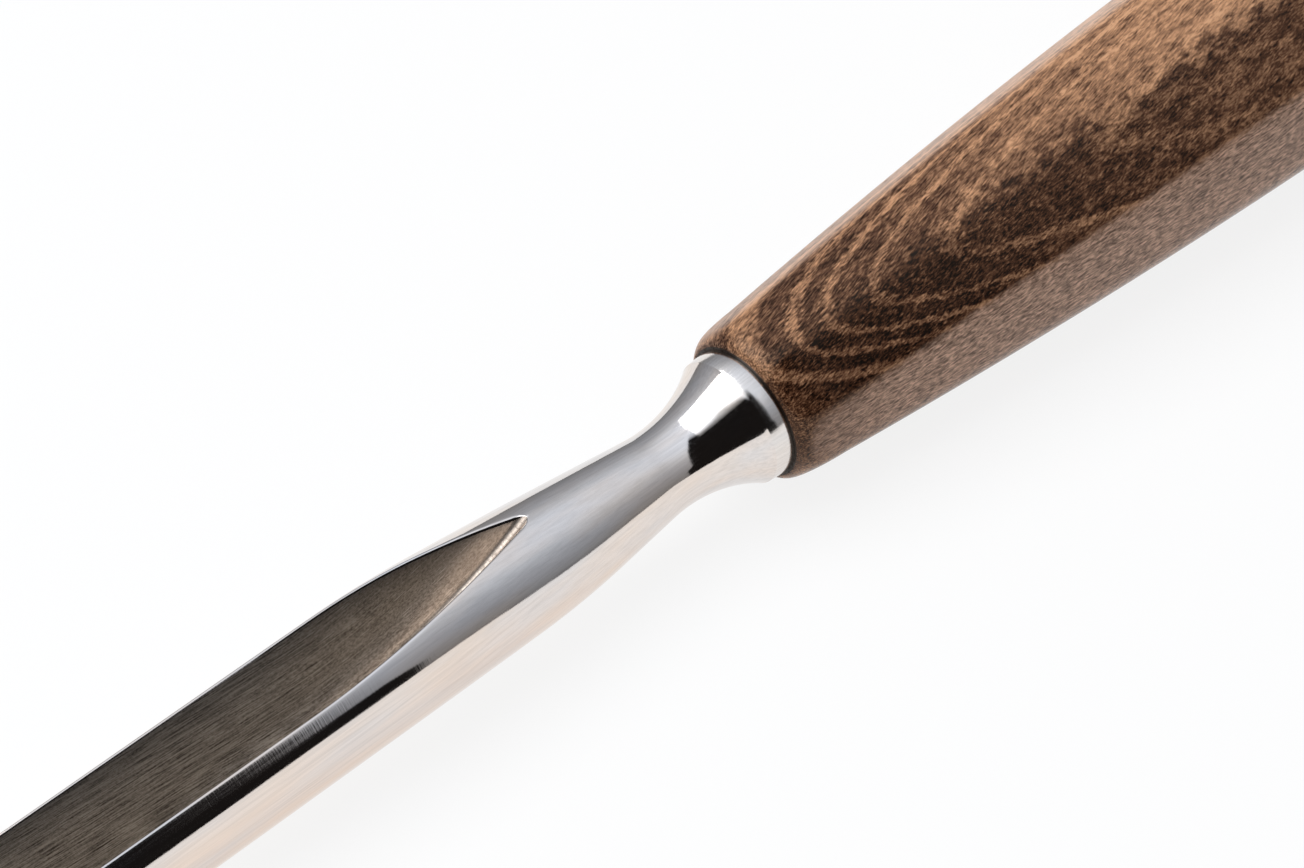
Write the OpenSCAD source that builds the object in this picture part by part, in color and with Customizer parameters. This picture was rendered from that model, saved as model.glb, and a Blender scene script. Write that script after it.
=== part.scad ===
// Carving V-tool with an octagonal handle
//
// Frame: the origin lies on the tool's axis, in the plane where the bolster seats
// on the handle. +X points at the cutting edge, +Z out of the mouth of the V.
// The three pieces are the forged blade, the handle, and the sleeve let into the
// handle's mouth that keeps the wood from splitting round the tang.

/* [Blade forging] */
// Length of the blade from the handle to the cutting edge
blade_l = 118; // [105:1:150]
// Diameter of the bolster that seats on the handle
bolster_d = 15; // [14:0.25:16]
// Length of the turned land at the back of the bolster
land_l = 1.75; // [1:0.25:3]
// Step from the turned land down to the flare
land_step = 0.15; // [0.05:0.05:0.3]
// Diameter of the neck ahead of the bolster
neck_d = 9.2; // [8:0.2:10.4]
// Distance from the handle to the thinnest part of the neck
neck_x = 11.5; // [9:0.5:14]
// Diameter of the round shank just behind the groove
shank_d = 12.4; // [11.6:0.1:12.8]
// Distance from the handle to where the shank has that diameter
shank_x = 27; // [23:0.5:28]
// Length over which the shank swells into the grooved bar
swell_l = 19; // [16:1:30]
// Diameter of the grooved bar
bar_d = 14.3; // [13.6:0.1:15]
// Height of the grooved bar's centre above the shank's
bar_rise = 1.45; // [1:0.05:2]

/* [V groove] */
// Width of the V at its top edges
cut_w = 10; // [8:0.5:10.5]
// Angle between the two walls of the V
cut_angle = 60; // [50:5:70]
// Radius at the root of the V
root_r = 0.8; // [0.4:0.1:1]
// Distance from the handle to the tip of the groove's run-out
runout_x = 28.8; // [28:0.2:33]
// Length over which the milling disc runs out of the metal
runout_l = 31; // [24:1:36]
// Angle of the bevels ground outside the cutting edge
bevel_angle = 20; // [18:1:28]
// Thickness of the honed edge
edge_t = 0.1; // [0.05:0.05:0.2]

/* [Tang and sleeve] */
// Length of the tang inside the handle
tang_l = 58; // [45:1:75]
// Width of the square tang at the bolster
tang_w = 6.8; // [6:0.1:7]
// Width of the square tang at its point
tang_tip_w = 3; // [2:0.5:4]
// Room left round the tang in its socket
tang_clearance = 0.1; // [0.05:0.05:0.3]
// Outside diameter of the sleeve in the handle's mouth
sleeve_d = 12.6; // [12:0.1:13]
// Wall thickness of the sleeve
sleeve_wall = 0.9; // [0.6:0.1:1]
// Length of the sleeve
sleeve_l = 12; // [8:1:16]
// Room left between the sleeve and the wood
sleeve_clearance = 0.05; // [0.03:0.01:0.1]

/* [Handle] */
// Length of the handle
handle_l = 136; // [120:1:150]
// Width across the flats at the thickest place
flats_w = 29; // [27:0.2:32]
// Width across the flats at the mouth
mouth_w = 17.4; // [17:0.2:19]
// Distance from the mouth to the thickest place
belly_x = 114; // [100:1:118]
// How far the rounded corners stand out past the flats, as a share of the flats
corner_swell = 0.045; // [0.03:0.005:0.06]
// Length over which the mouth is eased down to the bolster
mouth_l = 6; // [2:0.5:8]
// How far the eased mouth drops below the corners
mouth_drop = 2.1; // [1:0.1:2.2]
// Length of the domed butt
butt_l = 9; // [6:0.5:14]

/* [Hidden] */
$fn = 96;

// Steps on each rounded stretch of an outline
steps = 12;
// Overrun of a cutter past the metal that it clears
overrun = 2;
flat_pairs = 4;
// Thickness and sides of the sections that the bar is drawn through
section_t = 0.1;
section_sides = 32;
// How far the bar's first section lies inside the neck, so that it grows out of it
neck_bite = 0.15;
// Exponent of the butt's curve: 1 is an ellipse, and less is fuller at the rim
dome_fullness = 0.7;

land_r = bolster_d / 2;
flare_r = land_r - land_step;
neck_r = neck_d / 2;
shank_r = shank_d / 2;
bar_r = bar_d / 2;
bar_x = shank_x + swell_l;

// Top edges and sharp corner of the V, and the lowest line of its rounded root
half_angle = cut_angle / 2;
edge_z = bar_rise + sqrt(pow(bar_r, 2) - pow(cut_w / 2, 2));
apex_z = edge_z - cut_w / 2 / tan(half_angle);
floor_z = apex_z + root_r / sin(half_angle) - root_r;

// Milling disc: it clears the ridge of the swelling bar just at the tip of the run-out
ridge_z = shank_r + (bar_r + bar_rise - shank_r) * (runout_x - shank_x) / swell_l;
runout_rise = ridge_z - floor_z;
disc_r = (pow(runout_l, 2) + pow(runout_rise, 2)) / 2 / runout_rise;
disc_x = runout_x + runout_l;

// Handle: every flat is an arc that touches its greatest height at the belly
belly_r = flats_w / 2;
belly_rise = (flats_w - mouth_w) / 2;
flat_r = (pow(belly_x, 2) + pow(belly_rise, 2)) / 2 / belly_rise;
socket_l = tang_l + overrun;

// Height of a handle flat above the axis, at a distance behind the mouth
function flat_h(x) = belly_r - flat_r + sqrt(pow(flat_r, 2) - pow(x - belly_x, 2));

// Radius of the round envelope that eases the corners between the flats
function corner_h(x) = (1 + corner_swell) * flat_h(x);

// Turns an outline of [distance along X, radius] points about the tool's axis
module turned(outline) {
    rotate([0, 90, 0])
        rotate_extrude()
            polygon([for (p = outline) [p[1], p[0]]]);
}

// Section of the groove, with its root radius at the bottom and its walls run up past the edges
function groove_section() =
    let (
        top_z = bar_rise + bar_r + overrun,
        top_w = (top_z - apex_z) * tan(half_angle),
        span = 90 - half_angle
    )
    concat(
        [for (i = [0:steps])
            let (a = -span + 2 * span * i / steps)
            [root_r * sin(a), root_r * (1 - cos(a))]],
        [[top_w, top_z - floor_z], [-top_w, top_z - floor_z]]
    );

// Bolster and neck, turned in one outline: a land, a hollow flare and a straight neck
module turned_bolster() {
    flare_drop = flare_r - neck_r;
    flare_l = neck_x - land_l;
    flare_arc = (pow(flare_l, 2) + pow(flare_drop, 2)) / 2 / flare_drop;
    turned(concat(
        [[0, 0], [0, land_r], [land_l, land_r]],
        [for (i = [0:steps])
            let (x = land_l + flare_l * i / steps)
            [x, neck_r + flare_arc - sqrt(pow(flare_arc, 2) - pow(neck_x - x, 2))]],
        [[neck_x + neck_r, neck_r], [neck_x + neck_r, 0]]
    ));
}

// Thin disc across the blade, at a distance from the handle and a height above the axis
module section(x, z, r) {
    translate([x, 0, z])
        rotate([0, 90, 0])
            cylinder(h = section_t, r = r, $fn = section_sides);
}

// Shank and bar, drawn straight from one round section to the next
module drawn_bar() {
    hull() {
        section(neck_x, 0, neck_r - neck_bite);
        section(shank_x, 0, shank_r);
        section(bar_x, bar_rise, bar_r);
        section(blade_l - section_t, bar_rise, bar_r);
    }
}

// Space cleared by the milling disc and its straight run to the cutting edge
module groove() {
    translate([disc_x, 0, floor_z])
        rotate([90, 0, 90])
            linear_extrude(blade_l - disc_x + overrun)
                polygon(groove_section());
    translate([disc_x, 0, floor_z + disc_r])
        rotate([90, 0, 0])
            rotate_extrude()
                polygon([for (p = groove_section()) [disc_r - p[1], p[0]]]);
}

// Square tang, drawn down towards its point; grow is the room left round it
module tang(grow, length) {
    root_w = tang_w + 2 * grow;
    tip_w = tang_tip_w + 2 * grow;
    rotate([0, -90, 0])
        linear_extrude(length, scale = tip_w / root_w)
            square(root_w, center = true);
}

// Block that grinds the bevel outside one wall of the V
module wall_grinder() {
    reach = 2 * bar_d;
    translate([blade_l, 0, apex_z])
        rotate([-90 - half_angle, 0, 0])
            translate([0, 0, edge_t])
                rotate([0, bevel_angle, 0])
                    translate([-reach, -bar_d, 0])
                        cube([reach + overrun, 2 * bar_d, bar_d]);
}

// Block that grinds the keel bevel under the root of the V
module keel_grinder() {
    reach = 2 * bar_d;
    translate([blade_l, 0, floor_z - edge_t])
        rotate([0, -bevel_angle, 0])
            translate([-reach, -bar_d, -bar_d])
                cube([reach + overrun, 2 * bar_d, bar_d]);
}

// Forged in one piece: tang, bolster, neck, shank and grooved bar
module blade() {
    color("silver")
        difference() {
            union() {
                turned_bolster();
                drawn_bar();
                tang(0, tang_l);
            }
            groove();
            wall_grinder();
            mirror([0, 1, 0])
                wall_grinder();
            keel_grinder();
        }
}

module inner_sleeve() {
    color("gray")
        rotate([0, -90, 0])
            difference() {
                cylinder(h = sleeve_l, d = sleeve_d);
                translate([0, 0, -overrun])
                    cylinder(h = sleeve_l + 2 * overrun, d = sleeve_d - 2 * sleeve_wall);
            }
}

// Round envelope of the handle: eased mouth, barrelled length and domed butt
module handle_envelope() {
    dome_x = handle_l - butt_l;
    turned(concat(
        [[0, 0]],
        [for (i = [0:steps])
            let (a = 90 * i / steps)
            [-mouth_l * (1 - cos(a)), corner_h(mouth_l) - mouth_drop * (1 - sin(a))]],
        [for (i = [1:steps])
            let (x = mouth_l + (dome_x - mouth_l) * i / steps)
            [-x, corner_h(x)]],
        [for (i = [1:steps])
            let (a = 90 * i / steps)
            [-dome_x - butt_l * pow(sin(a), dome_fullness), corner_h(dome_x) * pow(cos(a), dome_fullness)]]
    ));
}

// Slab between two opposite flats of the handle
module barrelled_slab() {
    stations = [for (i = [0:steps]) handle_l * i / steps];
    rotate([90, 0, 0])
        linear_extrude(2 * flats_w, center = true)
            polygon(concat(
                [for (x = stations) [-x, flat_h(x)]],
                [for (i = [steps:-1:0]) [-stations[i], -flat_h(stations[i])]]
            ));
}

// Barrelled octagon with a flat on top, bored for the sleeve and the tang
module handle() {
    color("saddlebrown")
        difference() {
            intersection() {
                handle_envelope();
                intersection_for (i = [0:flat_pairs - 1])
                    rotate([180 * i / flat_pairs, 0, 0])
                        barrelled_slab();
            }
            rotate([0, -90, 0])
                translate([0, 0, -overrun])
                    cylinder(h = sleeve_l + sleeve_clearance + overrun, d = sleeve_d + 2 * sleeve_clearance);
            tang(tang_clearance, socket_l);
        }
}

blade();
inner_sleeve();
handle();
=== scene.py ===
# Carving V-tool lying on a pale studio table
# Lengths are in millimetres until a mesh is made, and Blender gets metres.
import math

import bmesh
import bpy
from mathutils import Matrix, Vector


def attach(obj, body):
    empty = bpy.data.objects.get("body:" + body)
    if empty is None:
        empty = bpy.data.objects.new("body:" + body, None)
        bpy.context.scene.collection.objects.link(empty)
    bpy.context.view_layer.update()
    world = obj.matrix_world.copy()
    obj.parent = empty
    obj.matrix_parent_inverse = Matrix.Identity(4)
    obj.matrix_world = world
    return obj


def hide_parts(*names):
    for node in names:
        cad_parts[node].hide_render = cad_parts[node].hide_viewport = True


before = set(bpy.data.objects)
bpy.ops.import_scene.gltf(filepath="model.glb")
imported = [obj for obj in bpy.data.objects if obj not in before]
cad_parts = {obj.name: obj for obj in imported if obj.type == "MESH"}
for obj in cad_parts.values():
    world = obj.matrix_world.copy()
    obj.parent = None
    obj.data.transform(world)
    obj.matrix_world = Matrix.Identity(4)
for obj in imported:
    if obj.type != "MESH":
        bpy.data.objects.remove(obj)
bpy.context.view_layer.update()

MM = 0.001

# Blade: square tang, turned bolster with a tapered land, drawn shank and grooved bar
BLADE_L = 118.0
TANG_L, TANG_W, TANG_TIP_W = 58.0, 6.8, 3.0
LAND_L, LAND_R, LAND_TIP_R = 2.3, 7.5, 7.32
FLARE_R, FLARE_ARC = 7.29, 17.08
NECK_X, NECK_R = 11.5, 4.6
SHANK_X, SHANK_R = 27.0, 6.2
BAR_X, BAR_R, BAR_RISE = 46.0, 7.15, 1.45
BLADE_CREASE = math.radians(28)
# The land's back edge is broken and rounded, and a fine step leads from its front edge to the flare
EDGE_BREAK, EDGE_ROUND = 0.08, 0.3
STEP_L, STEP_DROP, FLARE_X = 0.03, 0.01, LAND_L + 0.12
# Length past the neck before the shank widens evenly, and the ease on either side of the shank's two bends
NECK_TURN, BEND_EASE = 2.0, 6.0

# V groove, milled by a disc that runs out of the metal behind the bar, and the bevels at its end
HALF_ANGLE = math.radians(30)
CUT_W, ROOT_R, RUNOUT_X, RUNOUT_L = 10.0, 0.8, 28.8, 31.0
ROOT_ARC = ROOT_R * (math.pi / 2 - HALF_ANGLE)
EDGE_Z = BAR_RISE + math.sqrt(BAR_R ** 2 - (CUT_W / 2) ** 2)
APEX_Z = EDGE_Z - CUT_W / 2 / math.tan(HALF_ANGLE)
FLOOR_Z = APEX_Z + ROOT_R / math.sin(HALF_ANGLE) - ROOT_R
BEVEL, EDGE_T = math.radians(20), 0.1
# The lips are eased over this length, or over this share of a wall that is short
LIP, LIP_SHARE = 0.32, 0.3
# Every wall is shorter than this, and its length is found by so many halvings
WALL_LIMIT, HALVINGS = 16.0, 60

# Handle: barrelled octagon with an eased mouth and a domed butt, bored for the sleeve and the tang
HANDLE_L, BELLY_X, BELLY_R, MOUTH_R = 136.0, 114.0, 14.5, 8.7
CORNER_SWELL, MOUTH_L, MOUTH_DROP, BUTT_L = 0.045, 6.0, 2.1, 9.0
FLAT_R = (BELLY_X ** 2 + (BELLY_R - MOUTH_R) ** 2) / 2 / (BELLY_R - MOUTH_R)
DOME_X = HANDLE_L - BUTT_L
SLEEVE_R, SLEEVE_L, SOCKET_W, SOCKET_TIP_W, SOCKET_L = 6.35, 12.05, 7.0, 3.2, 60.0
HANDLE_CREASE = math.radians(35)
# A high power keeps the flats flat and rounds only the corners between them
FLATS, CORNER_POWER = 8, 40
# Exponent of the butt's curve: 1 is an ellipse, and less is fuller at the rim
DOME_FULLNESS = 0.7
# The mouth's front edge is broken over this length and by this much of its radius
MOUTH_BREAK_L, MOUTH_BREAK = 0.15, 0.35

# Arches of the wood: angle of their noses round the handle and its change per mm, how blunt the noses are,
# how fast the limbs run back and its change per mm, how much they lean, and where their count starts
ARCH_TURN, ARCH_TWIST, ARCH_NOSE = 0.459, -0.003636, 0.1771
ARCH_RUN, ARCH_RUN_CHANGE, ARCH_LEAN = 6.364, -0.9473, 4.66
ARCH_START = 8.0
# Counts at the two ends of the ring ramp, and how far the lobes push a count
COUNT_LOW, COUNT_HIGH, LOBE_PUSH = 2.0, 5.3, 0.26
# Each pale arch's count, half width on the ramp and paleness
ARCHES = ((2.155, 0.02, 1.0), (2.582, 0.008, 1.0), (2.843, 0.007, 1.0), (3.127, 0.0065, 0.9),
          (3.499, 0.007, 0.75), (4.016, 0.006, 0.5), (4.62, 0.01, 0.6))

# Blender numbers the colour sockets of its Mix node so
COLOUR_A, COLOUR_B, COLOUR_OUT = 6, 7, 2


def linear(colour):
    """sRGB hex to the linear colour that Blender's sockets take."""
    parts = [int(colour[i:i + 2], 16) / 255 for i in (1, 3, 5)]
    return tuple(c / 12.92 if c <= 0.04045 else ((c + 0.055) / 1.055) ** 2.4 for c in parts) + (1.0,)


def add(tree, kind, sockets=None, stops=(), out=0, **settings):
    """Adds a node and gives one of its outputs. Settings are its properties, sockets its inputs (a value or
    another node's output) and stops the colours of a ramp."""
    made = tree.nodes.new("ShaderNode" + kind)
    for name, value in settings.items():
        setattr(made, name, value)
    for name, value in (sockets or {}).items():
        if isinstance(value, bpy.types.NodeSocket):
            tree.links.new(value, made.inputs[name])
        else:
            made.inputs[name].default_value = value
    for i, (place, colour) in enumerate(stops):
        stop = made.color_ramp.elements[i] if i < 2 else made.color_ramp.elements.new(place)
        stop.position = place
        stop.color = colour
    return made.outputs[out] if made.outputs else None


def bare_tree(owner):
    """Emptied node tree of a material, a world or a lamp."""
    owner.use_nodes = True
    owner.node_tree.nodes.clear()
    return owner.node_tree


def put(name, data):
    """New object in the scene for a mesh, a camera or a lamp."""
    made = bpy.data.objects.new(name, data)
    bpy.context.scene.collection.objects.link(made)
    return made


def eased(x, knot, ease):
    """Ramp that is 0 before the knot and x - knot after it, rounded over the ease on either side."""
    u = (x - knot) / ease
    if u <= -1:
        return 0.0
    return x - knot if u >= 1 else ease * (u + 1) ** 2 / 4


def bar_section(x):
    """Height of the centre and radius of the blade's round outside, at a distance from the handle."""
    slope = (SHANK_R - NECK_R) / (SHANK_X - NECK_X - NECK_TURN)
    join = NECK_X + FLARE_ARC * math.sin(math.atan(slope))
    radius = NECK_R + FLARE_ARC - math.sqrt(FLARE_ARC ** 2 - (min(x, join) - NECK_X) ** 2)
    if x < join:
        return 0.0, radius
    swell = (BAR_R - SHANK_R) / (BAR_X - SHANK_X)
    past_shank, past_bar = eased(x, SHANK_X, BEND_EASE), eased(x, BAR_X, BEND_EASE)
    radius = radius + slope * (x - join) - (slope - swell) * past_shank - swell * past_bar
    return BAR_RISE / (BAR_X - SHANK_X) * (past_shank - past_bar), radius


# Milling disc: it clears the ridge of the shank just at the tip of the run-out
RIDGE_RISE, RIDGE_R = bar_section(RUNOUT_X)
RUNOUT_RISE = RIDGE_RISE + RIDGE_R - FLOOR_Z
DISC_R = (RUNOUT_L ** 2 + RUNOUT_RISE ** 2) / 2 / RUNOUT_RISE
DISC_X = RUNOUT_X + RUNOUT_L


def groove_point(x, s):
    """Point (y, z) of the groove's section at x, a distance s along the wall from the root's lowest line."""
    far = abs(s)
    if far <= ROOT_ARC:
        y, h = ROOT_R * math.sin(far / ROOT_R), ROOT_R * (1 - math.cos(far / ROOT_R))
    else:
        y = ROOT_R * math.cos(HALF_ANGLE) + (far - ROOT_ARC) * math.sin(HALF_ANGLE)
        h = ROOT_R * (1 - math.sin(HALF_ANGLE)) + (far - ROOT_ARC) * math.cos(HALF_ANGLE)
    if x >= DISC_X:
        z = FLOOR_Z + h
    else:
        z = FLOOR_Z + DISC_R - math.sqrt((DISC_R - h) ** 2 - (DISC_X - x) ** 2)
    return math.copysign(y, s), z


def groove_reach(x):
    """Distance along the wall at which the groove comes out of the bar."""
    centre, radius = bar_section(x)
    low, high = 0.0, WALL_LIMIT
    for _ in range(HALVINGS):
        mid = (low + high) / 2
        y, z = groove_point(x, mid)
        low, high = (mid, high) if y * y + (z - centre) ** 2 < radius ** 2 else (low, mid)
    return low


def flat_height(x):
    """Height of a handle flat above the axis, at a distance behind the mouth."""
    return BELLY_R - FLAT_R + math.sqrt(FLAT_R ** 2 - (x - BELLY_X) ** 2)


def handle_radius(x, angle):
    """Radius of the handle at a distance behind its mouth: eight flats with rounded corners."""
    flat = flat_height(x)
    envelope = (1 + CORNER_SWELL) * flat
    if x < MOUTH_L:
        lean = math.acos(1 - x / MOUTH_L)
        envelope = (1 + CORNER_SWELL) * flat_height(MOUTH_L) - MOUTH_DROP * (1 - math.sin(lean))
    elif x > DOME_X:
        sine = ((x - DOME_X) / BUTT_L) ** (1 / DOME_FULLNESS)
        envelope *= (1 - sine * sine) ** (DOME_FULLNESS / 2)
    total = (flat / envelope) ** CORNER_POWER
    for k in range(FLATS):
        total += max(math.cos(angle - 2 * math.pi * k / FLATS), 0.0) ** CORNER_POWER
    full = 1 + (1 + CORNER_SWELL) ** -CORNER_POWER
    return flat * (full / total) ** (1 / CORNER_POWER)


def square_at(angle, width):
    """Radius of a square's outline in a direction."""
    return width / 2 / max(abs(math.cos(angle)), abs(math.sin(angle)))


def section(x, radius_at, around, centre=0.0):
    """Points of a ring across the tool, with a radius for each angle from straight up."""
    angles = [2 * math.pi * i / around for i in range(around)]
    return [(x, radius_at(a) * math.sin(a), centre + radius_at(a) * math.cos(a)) for a in angles]


def lay(points, ring):
    """Adds a ring to a mesh's points and gives the ring's numbers among them."""
    points.extend(ring)
    return list(range(len(points) - len(ring), len(points)))


def skin(rings):
    """Faces between rings of equal length."""
    n = len(rings[0])
    return [(a[i], a[(i + 1) % n], b[(i + 1) % n], b[i]) for a, b in zip(rings, rings[1:]) for i in range(n)]


def piece(name, points, faces, finishes, finish_of=None):
    """Mesh object from points in millimetres, with a finish for each face."""
    mesh = bpy.data.meshes.new(name)
    mesh.from_pydata([Vector(p) * MM for p in points], [], faces)
    for finish in finishes:
        mesh.materials.append(finish)
    if finish_of:
        mesh.polygons.foreach_set("material_index", finish_of)
    return put(name, mesh)


def soften(work, made, crease):
    """Turns a piece's faces outward and shades them smooth, but for edges sharper than the crease."""
    bmesh.ops.recalc_face_normals(work, faces=work.faces[:])
    for face in work.faces:
        face.smooth = True
    for edge in work.edges:
        edge.smooth = edge.calc_face_angle(0) < crease
    work.to_mesh(made.data)
    work.free()


def make_blade(polished, milled, ground):
    """Forged blade: plain rings up to the run-out's tip, grooved rings to the end, and three ground bevels."""
    polished_no, milled_no, ground_no = range(3)
    # Points round the outside, from the groove's root to a lip, and across a lip
    around, wall, lip = 160, 30, 5
    # Rings crowd towards the run-out's tip, and the points across the groove towards its root
    shank_rings, runout_rings, bar_rings = 70, 110, 40
    tip_crowding, root_crowding = 1.6, 1.7
    points = []

    # Tang, back face and land are ground, and flare, neck and shank are buffed
    rings = [lay(points, section(x, lambda a: square_at(a, width), around))
             for x, width in ((-TANG_L, TANG_TIP_W), (0, TANG_W))]
    for x, radius in ((0, LAND_R - EDGE_BREAK),
                      (EDGE_BREAK * EDGE_ROUND, LAND_R - EDGE_BREAK * EDGE_ROUND),
                      (EDGE_BREAK, LAND_R),
                      (LAND_L - STEP_L, LAND_TIP_R),
                      (LAND_L, LAND_TIP_R - STEP_DROP),
                      (LAND_L + STEP_L, FLARE_R)):
        rings.append(lay(points, section(x, lambda a: radius, around)))
    ground_strips = len(rings) - 2
    for i in range(shank_rings):
        x = FLARE_X + (RUNOUT_X - FLARE_X) * i / shank_rings
        centre, radius = bar_section(x)
        rings.append(lay(points, section(x, lambda a: radius, around, centre)))
    tip = lay(points, section(RUNOUT_X, lambda a: RIDGE_R, around, RIDGE_RISE))
    rings.append(tip)
    faces = skin(rings) + [tuple(rings[0][::-1])]
    buffed_strips = len(rings) - 1 - ground_strips
    finish_of = [ground_no] * (ground_strips * around) + [polished_no] * (buffed_strips * around) + [ground_no]

    # Grooved stretch: each ring runs from the near lip round the keel to the far lip and through the groove
    stations = [RUNOUT_X + RUNOUT_L * (i / runout_rings) ** tip_crowding for i in range(1, runout_rings + 1)]
    stations += [DISC_X + (BLADE_L - DISC_X) * i / bar_rings for i in range(1, bar_rings + 1)]
    grooved = []
    for x in stations:
        centre, radius = bar_section(x)
        reach = groove_reach(x)
        y, z = groove_point(x, reach)
        ease = min(LIP, reach * LIP_SHARE)
        start = math.atan2(y, z - centre) + ease / radius
        outside = []
        for i in range(around + 1):
            a = start + (2 * math.pi - 2 * start) * i / around
            outside.append((x, radius * math.sin(a), centre + radius * math.cos(a)))
        inside = []
        for i in range(-wall, wall + 1):
            s = math.copysign((reach - ease) * (abs(i) / wall) ** root_crowding, i)
            inside.append((x,) + groove_point(x, s))
        # Each lip is a curve from the wall to the outside, drawn towards the corner between them
        lips = {}
        for side in (-1, 1):
            inner = Vector((x,) + groove_point(x, side * (reach - ease)))
            outer = Vector((x, side * radius * math.sin(start), centre + radius * math.cos(start)))
            corner = Vector((x, side * y, z))
            lips[side] = [tuple(inner * (1 - t) ** 2 + corner * 2 * t * (1 - t) + outer * t * t)
                          for t in (i / lip for i in range(1, lip))]
        grooved.append(lay(points, outside + lips[-1][::-1] + inside + lips[1]))
    first = grooved[0]
    n = len(first)
    in_groove = range(around + lip, n - lip)
    faces += [(tip[i], tip[(i + 1) % around], first[i + 1], first[i]) for i in range(around)]
    faces += [(tip[0], first[(i + 1) % n], first[i]) for i in range(around, n)]
    faces += skin(grooved)
    faces.append(tuple(grooved[-1]))
    finish_of += [milled_no if i in in_groove else polished_no for i in range(n)] * len(grooved)
    finish_of.append(polished_no)
    made = piece("forged_blade", points, faces, [polished, milled, ground], finish_of)

    # The two wall bevels and the keel bevel are ground off the end
    cut = bmesh.new()
    cut.from_mesh(made.data)
    wall_ways = [(APEX_Z, Vector((0, side * math.cos(HALF_ANGLE), -math.sin(HALF_ANGLE)))) for side in (-1, 1)]
    for foot_z, outward in wall_ways + [(FLOOR_Z, Vector((0, 0, -1)))]:
        place = Vector((BLADE_L, 0, foot_z)) + outward * EDGE_T
        normal = outward * math.cos(BEVEL) + Vector((math.sin(BEVEL), 0, 0))
        found = bmesh.ops.bisect_plane(cut, geom=cut.verts[:] + cut.edges[:] + cut.faces[:], dist=1e-7,
                                       plane_co=place * MM, plane_no=normal, clear_outer=True)
        rim = [e for e in found["geom_cut"] if isinstance(e, bmesh.types.BMEdge)]
        bmesh.ops.edgeloop_fill(cut, edges=rim, mat_nr=polished_no)
    soften(cut, made, BLADE_CREASE)
    return made


def make_handle(wood):
    """Handle: socket and sleeve bore from the inside out, then the mouth, the barrel and the domed butt."""
    around = 224
    edge_rings, mouth_rings, barrel_rings, dome_rings = 4, 24, 70, 40
    # The first rings of the eased mouth are left to its broken edge
    first_mouth_ring = 3
    quarter = math.pi / 2
    points = []
    shoulder_w = SOCKET_W + (SOCKET_TIP_W - SOCKET_W) * SLEEVE_L / SOCKET_L
    bore = ((-SOCKET_L, lambda a: square_at(a, SOCKET_TIP_W)),
            (-SLEEVE_L, lambda a: square_at(a, shoulder_w)),
            (-SLEEVE_L, lambda a: SLEEVE_R),
            (0, lambda a: SLEEVE_R),
            (0, lambda a: handle_radius(0, a) - MOUTH_BREAK))
    rings = [lay(points, section(x, radius_at, around)) for x, radius_at in bore]
    stations = [MOUTH_BREAK_L * (1 - math.cos(quarter * i / edge_rings)) for i in range(1, edge_rings + 1)]
    stations += [MOUTH_L * (1 - math.cos(quarter * i / mouth_rings))
                 for i in range(first_mouth_ring, mouth_rings + 1)]
    stations += [MOUTH_L + (DOME_X - MOUTH_L) * i / barrel_rings for i in range(1, barrel_rings + 1)]
    stations += [DOME_X + BUTT_L * math.sin(quarter * i / dome_rings) ** DOME_FULLNESS
                 for i in range(1, dome_rings)]
    for x in stations:
        rings.append(lay(points, section(-x, lambda a: handle_radius(x, a), around)))
    pole = lay(points, [(-HANDLE_L, 0, 0)])[0]
    last = rings[-1]
    faces = skin(rings) + [tuple(rings[0][::-1])]
    faces += [(last[i], last[(i + 1) % around], pole) for i in range(around)]
    made = piece("octagonal_handle", points, faces, [wood])
    work = bmesh.new()
    work.from_mesh(made.data)
    soften(work, made, HANDLE_CREASE)
    return made


def shader(name):
    """Empty material, and its node tree with the piece's own place in millimetres."""
    made = bpy.data.materials.new(name)
    tree = bare_tree(made)
    place = add(tree, "TexCoord", out="Object")
    mm = add(tree, "VectorMath", {0: place, "Scale": 1 / MM}, out="Vector", operation="SCALE")
    return made, tree, mm


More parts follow.
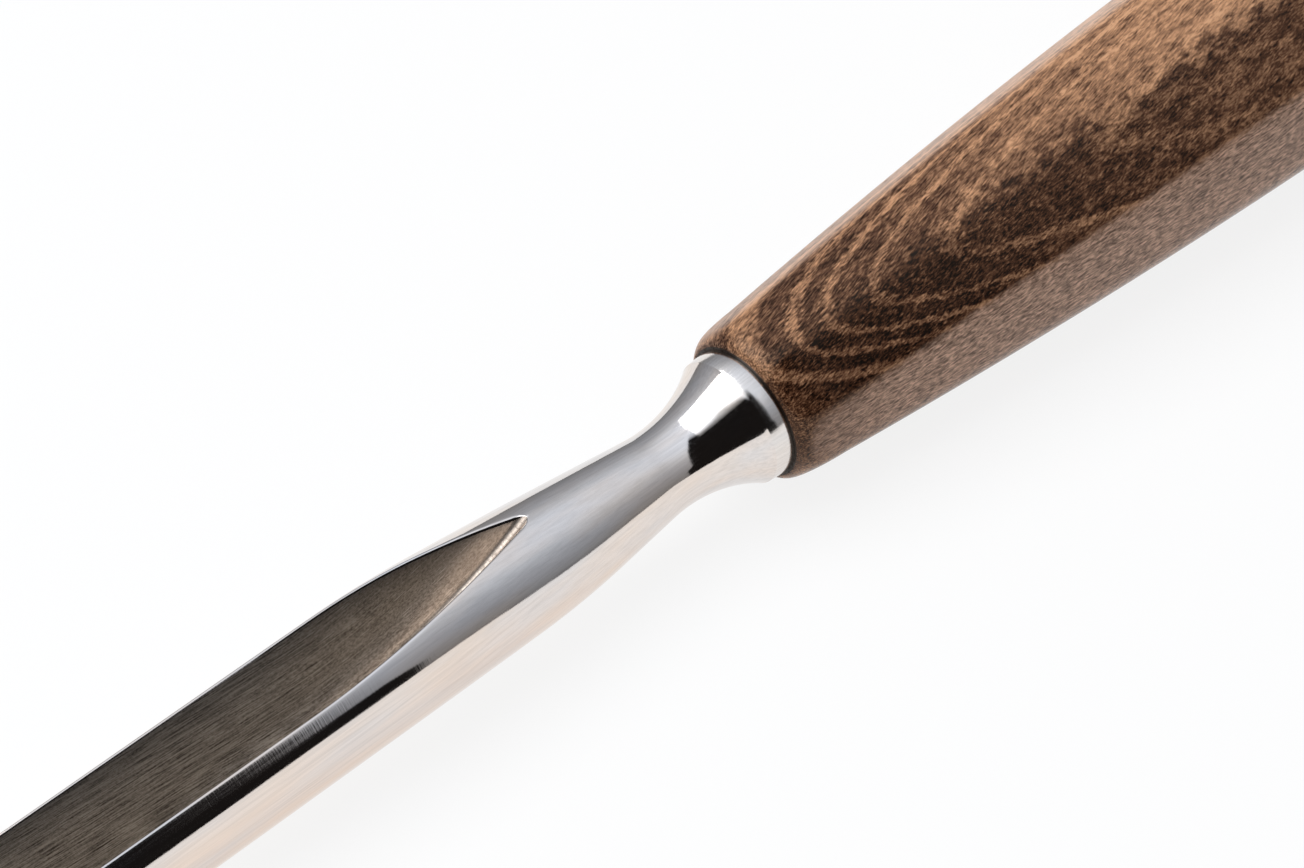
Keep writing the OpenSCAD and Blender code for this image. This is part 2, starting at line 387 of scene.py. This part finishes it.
def buffed_steel(name, dull, bright, smooth, rough, line_mm, line_height):
    """Steel with fine lines round the axis: reflections stay clear along the tool and fray across the lines."""
    made, tree, mm = shader(name)
    # Lines round the piece, drawing streaks along it 0.3 mm apart, and a warm or cool cast over 20 mm.
    # Real buffing lines are finer than a tenth of a millimetre, and are drawn coarser so that they show.
    fields = []
    for size, detail, roughness in (((line_mm, 7.0, 7.0), 3.0, 0.6),
                                    ((12.0, 0.3, 0.3), 4.0, 0.65),
                                    ((20.0, 3.0, 3.0), 2.0, 0.5)):
        at = add(tree, "Mapping", {"Vector": mm, "Scale": size}, vector_type="TEXTURE")
        fields.append(add(tree, "TexNoise", {"Vector": at, "Scale": 1.0, "Detail": detail, "Roughness": roughness}))
    lines, streaks, cast = fields
    tint = add(tree, "ValToRGB", {"Fac": cast}, [(0.36, linear(dull)), (0.64, linear(bright))])
    shade = add(tree, "ValToRGB", {"Fac": streaks}, [(0.3, linear("#f1f1f1")), (0.6, linear("#ffffff"))])
    tint = add(tree, "Mix", {"Factor": 1.0, COLOUR_A: tint, COLOUR_B: shade}, out=COLOUR_OUT,
               data_type="RGBA", blend_type="MULTIPLY")
    # Painted reflection: the cast grows warmer down the flanks of the bar, where the steel mirrors the paper, and
    # less so on the bolster
    up = add(tree, "SeparateXYZ", {0: add(tree, "TexCoord", out="Normal")}, out="Z")
    painted_floor_tint = add(tree, "MapRange", {"Value": up, "From Min": 0.6, "From Max": -0.2})
    onward = add(tree, "SeparateXYZ", {0: mm}, out="X")
    onward = add(tree, "MapRange", {"Value": onward, "From Min": 6.0, "From Max": 36.0,
                                    "To Min": 0.3, "To Max": 1.0})
    painted_floor_tint = add(tree, "Math", {0: painted_floor_tint, 1: onward}, operation="MULTIPLY")
    tint = add(tree, "Mix", {"Factor": painted_floor_tint, COLOUR_A: tint, COLOUR_B: linear("#fff4ec")}, out=COLOUR_OUT,
               data_type="RGBA", blend_type="MULTIPLY")
    # The streaks vary the polish and stand nearly as high as the lines
    worn = add(tree, "MapRange", {"Value": streaks, "From Min": 0.3, "From Max": 0.72,
                                  "To Min": smooth, "To Max": rough})
    streak_height = 0.8
    relief = add(tree, "Math", {0: streaks, 1: streak_height, 2: lines}, operation="MULTIPLY_ADD")
    bump = add(tree, "Bump", {"Strength": 1.0, "Distance": line_height * MM, "Height": relief})
    surface = add(tree, "BsdfPrincipled", {
        "Base Color": tint, "Metallic": 1.0, "Roughness": worn, "Normal": bump})
    add(tree, "OutputMaterial", {"Surface": surface})
    return made


def milled_steel():
    """Tool steel as the milling disc left it: dull grey brown, scored along the path of the disc."""
    made, tree, mm = shader("milled_tool_steel")
    # Wander of the scores per mm and their height in mm, how far in mm the border of the painted root light strays,
    # and how far it moves for each mm above the groove's floor
    wander, score_height, stray, climb = 0.05, 0.003, 30.0, 15.0
    x, y, z = (add(tree, "SeparateXYZ", {0: mm}, out=axis) for axis in "XYZ")
    # Scores keep their distance from the disc's axis, which stops over the end of the run-out
    run = add(tree, "Math", {0: x, 1: -DISC_X}, operation="ADD")
    run = add(tree, "Math", {0: run, 1: 0.0}, operation="MINIMUM")
    drop = add(tree, "Math", {0: z, 1: -FLOOR_Z - DISC_R}, operation="ADD")
    spoke = add(tree, "CombineXYZ", {"X": run, "Z": drop})
    spoke = add(tree, "VectorMath", {0: spoke}, out="Value", operation="LENGTH")
    above_floor = add(tree, "Math", {0: spoke, 1: -1.0, 2: DISC_R}, operation="MULTIPLY_ADD")
    # The disc wanders a little across the wall as it goes
    spoke = add(tree, "Math", {0: x, 1: wander, 2: spoke}, operation="MULTIPLY_ADD")
    track = add(tree, "CombineXYZ", {"X": x, "Y": y, "Z": spoke})
    # Scores 0.11 mm wide and 4 mm long, grit of 0.3 by 0.13 mm between them, a few scratches 0.1 mm wide, and
    # blotches 14 mm long that fray the painted root light's border. Real scores are finer still, and are drawn as
    # coarse as they need to show.
    fields = []
    for at, size, detail, roughness in ((track, (4.0, 30.0, 0.11), 1.0, 0.6),
                                        (track, (0.3, 2.0, 0.13), 2.0, 0.7),
                                        (track, (2.5, 30.0, 0.1), 0.0, 0.5),
                                        (mm, (14.0, 4.0, 4.0), 3.0, 0.5)):
        at = add(tree, "Mapping", {"Vector": at, "Scale": size}, vector_type="TEXTURE")
        fields.append(add(tree, "TexNoise", {"Vector": at, "Scale": 1.0, "Detail": detail, "Roughness": roughness}))
    score, grit, scratch, root_light_and_tone = fields
    share = add(tree, "MapRange", {"Value": x, "From Min": 40.0, "From Max": 62.0, "To Min": 0.75, "To Max": 0.35})
    score = add(tree, "Mix", {"Factor": share, "A": score, "B": grit})
    score = add(tree, "MapRange", {"Value": score, "From Min": 0.34, "From Max": 0.66})
    # Painted highlight on the steel's warm tint: paler and warmer by the root and the run-out, greyer towards the
    # edge and lips
    root_light_and_tone = add(tree, "Math", {0: root_light_and_tone, 1: stray, 2: x}, operation="MULTIPLY_ADD")
    root_light_and_tone = add(tree, "Math", {0: above_floor, 1: climb, 2: root_light_and_tone}, operation="MULTIPLY_ADD")
    root_light_and_tone = add(tree, "MapRange", {"Value": root_light_and_tone, "From Min": 69.0, "From Max": 109.0})
    hue = add(tree, "ValToRGB", {"Fac": root_light_and_tone}, [
        (0.0, linear("#e5dad0")), (0.5, linear("#bcb5ae")), (1.0, linear("#b4aca3"))])
    scored = add(tree, "ValToRGB", {"Fac": score}, [(0.0, linear("#726d69")), (0.88, linear("#f8f7f5"))])
    # The run-out is calmer, with a few bright scratches
    calm = add(tree, "MapRange", {"Value": x, "From Min": 36.0, "From Max": 60.0, "To Min": 0.65, "To Max": 0.0})
    scratch = add(tree, "MapRange", {"Value": scratch, "From Min": 0.7, "From Max": 0.8})
    for amount, tint in ((calm, "#c4bfba"), (scratch, "#ffffff")):
        scored = add(tree, "Mix", {"Factor": amount, COLOUR_A: scored, COLOUR_B: linear(tint)}, out=COLOUR_OUT,
                     data_type="RGBA")
    colour = add(tree, "Mix", {"Factor": 1.0, COLOUR_A: hue, COLOUR_B: scored}, out=COLOUR_OUT,
                 data_type="RGBA", blend_type="MULTIPLY")
    worn = add(tree, "MapRange", {"Value": score, "To Min": 0.5, "To Max": 0.34})
    bump = add(tree, "Bump", {"Strength": 1.0, "Distance": score_height * MM, "Height": score})
    surface = add(tree, "BsdfPrincipled", {
        "Base Color": colour, "Metallic": 1.0, "Roughness": worn, "Normal": bump})
    add(tree, "OutputMaterial", {"Surface": surface})
    return made


def stained_hornbeam():
    """Hornbeam, stained and waxed: dark rings with pale arches between them, and hair-fine streaks."""
    made, tree, mm = shader("stained_waxed_hornbeam")
    # Share of hairs in the grain and its height in mm, how ragged the soaked flat's border is, how much the
    # arches lift the tone, and the contrast of the whole
    hair_share, grain_height, border, arch_lift, contrast = 0.56, 0.006, 0.26, 0.4, 0.8
    x, y, z = (add(tree, "SeparateXYZ", {0: mm}, out=axis) for axis in "XYZ")
    normal = add(tree, "TexCoord", out="Normal")
    endwise, facing, upward = (add(tree, "SeparateXYZ", {0: normal}, out=axis) for axis in "XYZ")
    # Lobes 1.3 mm long that fray the rings, blotches 3.4 mm and flecks 0.9 mm long, hairs 0.16 mm wide that lie
    # some degrees off the axis, and streaks 0.2 mm wide on the side flat. Hornbeam's pores are finer than a
    # tenth of a millimetre, so the hairs and streaks are drawn coarser than real ones to show.
    fields = []
    for turn, size, detail, roughness in (((0.0, 0.0, 0.1), (1.3, 0.5, 0.5), 3.0, 0.65),
                                          ((0.0, 0.0, 0.08), (3.4, 1.3, 1.3), 3.0, 0.65),
                                          ((0.0, 0.0, 0.12), (0.9, 0.32, 0.32), 3.0, 0.75),
                                          ((0.0, 0.0, 0.22), (1.6, 0.16, 0.16), 2.0, 0.7),
                                          ((0.0, 0.03, 0.0), (1.1, 0.2, 0.2), 3.0, 0.75)):
        at = add(tree, "Mapping", {"Vector": mm, "Rotation": turn, "Scale": size}, vector_type="TEXTURE")
        fields.append(add(tree, "TexNoise", {"Vector": at, "Scale": 1.0, "Detail": detail, "Roughness": roughness}))
    lobe, blotch, fleck, hair, streak = fields
    grain = add(tree, "Mix", {"Factor": hair_share, "A": fleck, "B": hair})
    grain = add(tree, "Math", {0: grain, 1: -0.5}, operation="ADD")
    # Arches: each ring comes out nearest the mouth along one line of the handle, and runs back on both sides
    angle = add(tree, "Math", {0: y, 1: z}, operation="ARCTAN2")
    angle = add(tree, "Math", {0: angle, 1: -ARCH_TURN}, operation="ADD")
    angle = add(tree, "Math", {0: x, 1: -ARCH_TWIST, 2: angle}, operation="MULTIPLY_ADD")
    chord = add(tree, "Math", {0: angle, 1: 0.5}, operation="MULTIPLY")
    chord = add(tree, "Math", {0: chord}, operation="SINE")
    chord = add(tree, "Math", {0: chord, 1: 2.0}, operation="MULTIPLY")
    limb = add(tree, "Math", {0: chord, 1: chord}, operation="MULTIPLY")
    limb = add(tree, "Math", {0: limb, 1: ARCH_NOSE ** 2}, operation="ADD")
    limb = add(tree, "Math", {0: limb}, operation="SQRT")
    limb = add(tree, "Math", {0: limb, 1: -ARCH_NOSE}, operation="ADD")
    run = add(tree, "Math", {0: x, 1: ARCH_RUN_CHANGE, 2: ARCH_RUN}, operation="MULTIPLY_ADD")
    arch = add(tree, "Math", {0: limb, 1: run, 2: x}, operation="MULTIPLY_ADD")
    lean = add(tree, "Math", {0: angle}, operation="SINE")
    arch = add(tree, "Math", {0: lean, 1: ARCH_LEAN, 2: arch}, operation="MULTIPLY_ADD")
    # The arches stand further apart towards the butt, so they are counted on a logarithmic scale
    arch = add(tree, "Math", {0: arch, 1: -ARCH_START}, operation="ADD")
    arch = add(tree, "Math", {0: arch}, operation="ABSOLUTE")
    arch = add(tree, "Math", {0: arch, 1: math.e}, operation="LOGARITHM")
    count = add(tree, "Math", {0: lobe, 1: LOBE_PUSH, 2: arch}, operation="MULTIPLY_ADD")
    count = add(tree, "MapRange", {"Value": count, "From Min": COUNT_LOW, "From Max": COUNT_HIGH})
    stops = [(0.0, 0.25)]
    for number, width, paleness in ARCHES:
        middle = (number + LOBE_PUSH / 2 - COUNT_LOW) / (COUNT_HIGH - COUNT_LOW)
        stops += [(middle - 2 * width, 0), (middle - width, paleness), (middle + width, paleness),
                  (middle + 2.5 * width, 0)]
    stops.append((1.0, 0))
    ring = add(tree, "ValToRGB", {"Fac": count}, [(place, (grey, grey, grey, 1)) for place, grey in stops])
    # Flats: one side flat stays even and greyer, a painted sheen as if the wax mirrored the paper, though less so
    # near the mouth; the one beside it is paler with a ragged border; and one across from it is paler too, a
    # painted sheen
    inward = add(tree, "MapRange", {"Value": x, "From Min": -1.0, "From Max": -24.0,
                                    "To Min": -0.09, "To Max": 0.0})
    painted_sheen_flat = add(tree, "Math", {0: facing, 1: inward}, operation="ADD")
    blotch = add(tree, "MapRange", {"Value": blotch, "From Min": 0.38, "From Max": 0.64},
                 interpolation_type="SMOOTHSTEP")
    ragged = add(tree, "Math", {0: blotch, 1: border, 2: facing}, operation="MULTIPLY_ADD")
    masks = []
    for way, start, end in ((painted_sheen_flat, 0.85, 0.96), (ragged, 0.28, 0.75),
                            (facing, -0.3, -0.55), (facing, -0.96, -0.85)):
        masks.append(add(tree, "MapRange", {"Value": way, "From Min": start, "From Max": end},
                         interpolation_type="SMOOTHSTEP"))
    painted_sheen_flat, ragged_flat, painted_far_sheen, beyond = masks
    painted_far_sheen = add(tree, "Math", {0: painted_far_sheen, 1: beyond}, operation="MULTIPLY")
    # Stain lies thinner towards the middle of the handle, where only the blotches stay dark, and the painted sheen
    # and the
    # painted underside light fade: each amount has a value near the mouth and a change towards the middle
    lift = add(tree, "MapRange", {"Value": x, "From Min": -14.0, "From Max": -62.0})
    amounts = []
    for at_mouth, change in ((-0.19, -0.17), (0.46, 0.57), (0.32, -0.25),
                             (0.35, -0.3), (-0.12, -0.2), (3.1, -0.5)):
        amounts.append(add(tree, "Math", {0: lift, 1: change, 2: at_mouth}, operation="MULTIPLY_ADD"))
    ragged_flat_lift, level, far_sheen_lift, underside_light_lift, mottle, gain = amounts
    # The paler flat's lift stops short of the greyer side flat and of the rounded mouth
    for way, start, end in ((facing, 0.82, 0.97), (endwise, 0.1, 0.45)):
        spared = add(tree, "MapRange", {"Value": way, "From Min": start, "From Max": end,
                                        "To Min": 1.0, "To Max": 0.1})
        ragged_flat_lift = add(tree, "Math", {0: ragged_flat_lift, 1: spared}, operation="MULTIPLY")
    # The eased end grain round the mouth takes more stain, and the underside is painted paler, as light thrown up
    # from the paper, above all near the mouth
    thirst = add(tree, "MapRange", {"Value": endwise, "From Min": 0.3, "From Max": 0.8, "To Max": -0.05})
    painted_underside_light = add(tree, "MapRange", {"Value": upward, "From Min": -0.05, "From Max": -0.4, "To Max": underside_light_lift})
    tone = add(tree, "Math", {0: level, 1: thirst}, operation="ADD")
    tone = add(tree, "Math", {0: tone, 1: painted_underside_light}, operation="ADD")
    for mask, amount in ((ragged_flat, ragged_flat_lift), (painted_far_sheen, far_sheen_lift), (blotch, mottle), (ring, arch_lift), (grain, gain)):
        tone = add(tree, "Math", {0: mask, 1: amount, 2: tone}, operation="MULTIPLY_ADD")
    tone = add(tree, "Math", {0: tone, 1: contrast}, operation="MULTIPLY")
    figure = add(tree, "ValToRGB", {"Fac": tone}, [
        (0.0, linear("#0a0402")), (0.16, linear("#2a150a")), (0.4, linear("#5d3c29")),
        (0.64, linear("#987053")), (0.82, linear("#be8c66")), (1.0, linear("#d8a57d"))])
    # Painted sheen: the greyer side flat's colours stand in for the paper mirrored in the wax
    grey = add(tree, "ValToRGB", {"Fac": streak}, [
        (0.38, linear("#5e4639")), (0.5, linear("#a5836e")), (0.62, linear("#e2b79c"))])
    colour = add(tree, "Mix", {"Factor": painted_sheen_flat, COLOUR_A: figure, COLOUR_B: grey}, out=COLOUR_OUT, data_type="RGBA")
    # A thin ring at the mouth is darkened: partly painted shade of the joint with the bolster, partly stained end
    # grain
    mouth_shade_and_stain = add(tree, "MapRange", {"Value": x, "From Min": -0.025, "From Max": -0.008},
                interpolation_type="SMOOTHSTEP")
    colour = add(tree, "Mix", {"Factor": mouth_shade_and_stain, COLOUR_A: colour, COLOUR_B: linear("#1d110a")}, out=COLOUR_OUT,
                 data_type="RGBA")
    # Dark pores stay dull in the amber wax, which gives its sheen a warm tint, and the paler flat is burnished
    dull = add(tree, "MapRange", {"Value": tone, "From Min": 0.08, "From Max": 0.48, "To Min": 0.8, "To Max": 0.3})
    worn = add(tree, "Mix", {"Factor": ragged_flat, "A": dull, "B": 0.22})
    bump = add(tree, "Bump", {"Strength": 1.0, "Distance": grain_height * MM, "Height": grain})
    surface = add(tree, "BsdfPrincipled", {
        "Base Color": colour, "Roughness": worn, "IOR": 1.5, "Specular IOR Level": 0.25,
        "Specular Tint": linear("#ffecd6"), "Normal": bump})
    add(tree, "OutputMaterial", {"Surface": surface})
    return made


# Finishes of steel: cool and warm cast, least and most roughness, spacing and height of the lines in mm
polished = buffed_steel("buffed_tool_steel", "#e2dfde", "#eadfd6", 0.035, 0.11, 0.25, 0.0022)
ground = buffed_steel("ground_tool_steel", "#e4e1df", "#ebe4de", 0.1, 0.18, 0.2, 0.006)
turned = buffed_steel("turned_mild_steel", "#c4c1be", "#cbc4bd", 0.22, 0.36, 0.3, 0.006)
milled = milled_steel()
wood = stained_hornbeam()

blade = make_blade(polished, milled, ground)
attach(blade, "root")
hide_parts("blade")
handle = make_handle(wood)
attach(handle, "root")
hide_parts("handle")
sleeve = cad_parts["inner_sleeve"]
sleeve.data.materials.clear()
sleeve.data.materials.append(turned)

# Camera: the tool's axis leans towards the lens, the lens stands round from straight above it,
# and the axis runs at a slant across the picture
LEAN, ROUND, SLANT = (math.radians(a) for a in (24.5, 38.5, 35.1))
PHOTO_W, PHOTO_H = 1304, 868
# Pixel where the bolster's seat lies in the photograph, distance of the lens, and scale at the seat
SEAT_PX = (745.0, 411.5)
STANCE, PX_PER_MM = 400.0, 9.667
back = Vector((math.sin(LEAN), math.cos(LEAN) * math.sin(ROUND), math.cos(LEAN) * math.cos(ROUND)))
along = Vector((-1, 0, 0)) + back * back.x
along.normalize()
across = (-back).cross(along)
right = along * math.cos(SLANT) + across * math.sin(SLANT)
down = across * math.cos(SLANT) - along * math.sin(SLANT)
focal_px = STANCE * PX_PER_MM
offset = right * (SEAT_PX[0] - PHOTO_W / 2) + down * (SEAT_PX[1] - PHOTO_H / 2)
place = (back * STANCE - offset * (STANCE / focal_px)) * MM
lens = bpy.data.cameras.new("product_camera")
lens.sensor_width = 36.0
lens.lens = lens.sensor_width * focal_px / PHOTO_W
lens.clip_start = 0.01
camera = put("product_camera", lens)
turn = Matrix((right, -down, back)).transposed().to_4x4()
camera.matrix_world = Matrix.Translation(place) @ turn
bpy.context.scene.camera = camera

# Table of white paper: the tool lies on the handle's belly and on the keel just behind its bevel
REST_X, REST_Z = 106.2, BAR_RISE - BAR_R
TABLE_SLOPE, TABLE_HALF, TABLE_GAP = 0.0452, 3000.0, 0.02
# Share of white that the lens and the steel see, and the rest is paper that takes the shadow
PAPER_GLOW = 0.86
paper = bpy.data.materials.new("white_paper")
tree = bare_tree(paper)
sheet = add(tree, "BsdfDiffuse", {"Color": linear("#fafaf9")})
glow = add(tree, "Emission", {"Color": (1, 1, 1, 1), "Strength": 1.0})
seen = add(tree, "LightPath", out="Is Camera Ray")
for ray in ("Is Glossy Ray", "Is Transmission Ray"):
    seen = add(tree, "Math", {0: seen, 1: add(tree, "LightPath", out=ray)}, operation="MAXIMUM")
share = add(tree, "Math", {0: seen, 1: PAPER_GLOW}, operation="MULTIPLY")
both = add(tree, "MixShader", {0: share, 1: sheet, 2: glow})
add(tree, "OutputMaterial", {"Surface": both})
ends = (-TABLE_HALF, TABLE_HALF)
corners = [(x, y, REST_Z - TABLE_GAP + TABLE_SLOPE * (x - REST_X)) for y in ends for x in ends]
table = piece("studio_table", corners, [(0, 1, 3, 2)], [paper])


def towards(azimuth, elevation):
    """Unit direction: azimuth in degrees from +Y towards the handle, elevation above the table."""
    a, e = math.radians(azimuth), math.radians(elevation)
    return Vector((-math.sin(a) * math.cos(e), math.cos(a) * math.cos(e), math.sin(e)))


# Studio: a grey room that is paler overhead and dark behind the camera, and one overhead softbox
# Light of the room by height, from the table's level to straight above, where 1 is white
ROOM = ((0.0, (0.2, 0.2, 0.21)), (0.05, (0.25, 0.255, 0.265)), (0.26, (0.31, 0.32, 0.345)),
        (0.5, (0.42, 0.44, 0.48)), (0.65, (0.57, 0.6, 0.65)), (0.78, (0.77, 0.81, 0.88)), (1.0, (0.95, 1.0, 1.09)))
DARK = (0.01, 0.009, 0.009, 1)
# Ways that the dark end lies from its sharp side edge and from its far edge
DARK_SIDE, DARK_FAR = towards(-73.0, 6.0), towards(18.0, 0.0)
world = bpy.data.worlds.new("grey_studio")
bpy.context.scene.world = world
tree = bare_tree(world)
way = add(tree, "TexCoord", out="Generated")
height = add(tree, "SeparateXYZ", {0: way}, out="Z")
room = add(tree, "ValToRGB", {"Fac": height}, [(place, light + (1,)) for place, light in ROOM])
# The side edge steps outward low down, and the dark ends short of straight above
low = add(tree, "MapRange", {"Value": height, "From Min": 0.3, "From Max": 0.14, "To Max": 0.1},
          interpolation_type="SMOOTHSTEP")
side = add(tree, "VectorMath", {0: way, 1: DARK_SIDE}, out="Value", operation="DOT_PRODUCT")
side = add(tree, "Math", {0: side, 1: low}, operation="ADD")
far = add(tree, "VectorMath", {0: way, 1: DARK_FAR}, out="Value", operation="DOT_PRODUCT")
dark = 1.0
for edge, start, end in ((side, -0.008, 0.01), (far, -0.05, 0.08), (height, 0.995, 0.93)):
    edge = add(tree, "MapRange", {"Value": edge, "From Min": start, "From Max": end},
               interpolation_type="SMOOTHSTEP")
    dark = add(tree, "Math", {0: edge, 1: dark}, operation="MULTIPLY")
studio = add(tree, "Mix", {"Factor": dark, COLOUR_A: room, COLOUR_B: DARK}, out=COLOUR_OUT, data_type="RGBA")
sky = add(tree, "Background", {"Color": studio, "Strength": 1.0})
add(tree, "OutputWorld", {"Surface": sky})

# The softbox's cloth dims evenly towards its near edge, so that its reflection in the steel fades on that side
SOFTBOX_SIZE, SOFTBOX_RADIANCE = (1.1, 1.34), 3.1
SOFTBOX_PLACE, SOFTBOX_TURN = (0.43, -0.24, 1.0), math.radians(-7)
softbox = bpy.data.lights.new("overhead_softbox", "AREA")
softbox.shape = "RECTANGLE"
softbox.size, softbox.size_y = SOFTBOX_SIZE
softbox.energy = SOFTBOX_RADIANCE * math.pi * softbox.size * softbox.size_y
tree = bare_tree(softbox)
cloth = add(tree, "SeparateXYZ", {0: add(tree, "NewGeometry", out="Parametric")}, out="Y")
cloth = add(tree, "MapRange", {"Value": cloth, "From Min": 1.0, "From Max": 0.3})
cloth = add(tree, "Emission", {"Strength": cloth})
add(tree, "OutputLight", {"Surface": cloth})
lamp = put("overhead_softbox", softbox)
lamp.location = SOFTBOX_PLACE
lamp.rotation_euler = (0.0, 0.0, SOFTBOX_TURN)

bpy.context.scene.view_settings.view_transform = "Standard"
